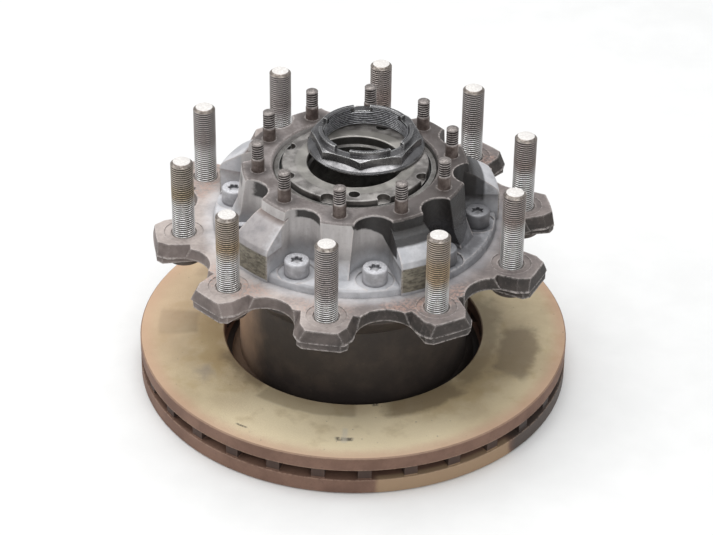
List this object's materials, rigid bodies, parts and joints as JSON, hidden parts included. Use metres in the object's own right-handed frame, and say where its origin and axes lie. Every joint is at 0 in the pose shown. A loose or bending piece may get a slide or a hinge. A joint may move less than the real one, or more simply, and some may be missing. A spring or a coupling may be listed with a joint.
{
  "type": "wheel hub",
  "caption": "Heavy-vehicle wheel hub: fluted iron casting with eared wheel flange, studs, unit bearing, loose axle nut and a deep-necked ventilated brake disc under it.",
  "frame": {"origin": "on the axle's line at the lower face of the brake disc, where the part stands", "axes": "+Z along the axle towards the outboard end (studs); X and Y lie in the disc's plane, -Y towards the stud nearest the camera"},
  "size_m": [0.4278, 0.428, 0.2672],
  "materials": {
    "hub_iron": "as cast, machined on the flange and pads, dusty with light rust",
    "disc_iron": "worn friction face, rusted rim, dark neck",
    "wheel_stud_steel": "threaded, worn bright below and brown above",
    "axle_stud_steel": "threaded, dark and oily",
    "screw_steel": "coated, dusty",
    "bearing_steel": "ground",
    "roller_steel": "ground and greased",
    "seal_rubber": "matte black",
    "tone_ring_steel": "machined, dull",
    "washer_steel": "worn bright",
    "nut_steel": "dark, oily"
  },
  "bodies": {
    "hub": {"hub_casting": "hub_iron", "brake_disc": "disc_iron", "wheel_stud_01": "wheel_stud_steel", "wheel_stud_02": "wheel_stud_steel", "wheel_stud_03": "wheel_stud_steel", "wheel_stud_04": "wheel_stud_steel", "wheel_stud_05": "wheel_stud_steel", "wheel_stud_06": "wheel_stud_steel", "wheel_stud_07": "wheel_stud_steel", "wheel_stud_08": "wheel_stud_steel", "wheel_stud_09": "wheel_stud_steel", "wheel_stud_10": "wheel_stud_steel", "axle_stud_01": "axle_stud_steel", "axle_stud_02": "axle_stud_steel", "axle_stud_03": "axle_stud_steel", "axle_stud_04": "axle_stud_steel", "axle_stud_05": "axle_stud_steel", "axle_stud_06": "axle_stud_steel", "axle_stud_07": "axle_stud_steel", "axle_stud_08": "axle_stud_steel", "axle_stud_09": "axle_stud_steel", "axle_stud_10": "axle_stud_steel", "disc_screw_01": "screw_steel", "disc_screw_02": "screw_steel", "disc_screw_03": "screw_steel", "disc_screw_04": "screw_steel", "disc_screw_05": "screw_steel", "disc_screw_06": "screw_steel", "disc_screw_07": "screw_steel", "disc_screw_08": "screw_steel", "disc_screw_09": "screw_steel", "disc_screw_10": "screw_steel", "bearing_outer_ring": "bearing_steel", "seal_outboard": "seal_rubber", "seal_inboard": "seal_rubber", "abs_tone_ring": "tone_ring_steel"},
    "inner_race": {"inner_ring_outboard": "bearing_steel", "inner_ring_inboard": "bearing_steel", "notched_washer": "washer_steel", "axle_nut": "nut_steel"},
    "outboard_rollers": {"roller_row_outboard": "roller_steel"},
    "inboard_rollers": {"roller_row_inboard": "roller_steel"}
  },
  "joints": [
    {"name": "bearing_spin", "type": "hinge", "parent": "hub", "child": "inner_race", "pos_m": [0, 0, 0.169], "axis": [0, 0, 1], "continuous": true},
    {"name": "outboard_roller_travel", "type": "hinge", "parent": "hub", "child": "outboard_rollers", "pos_m": [0, 0, 0.169], "axis": [0, 0, 1], "continuous": true},
    {"name": "inboard_roller_travel", "type": "hinge", "parent": "hub", "child": "inboard_rollers", "pos_m": [0, 0, 0.169], "axis": [0, 0, 1], "continuous": true}
  ],
  "couplings": [
    {"joint": "outboard_roller_travel", "follows": "bearing_spin", "ratio": 0.45},
    {"joint": "inboard_roller_travel", "follows": "bearing_spin", "ratio": 0.45}
  ]
}
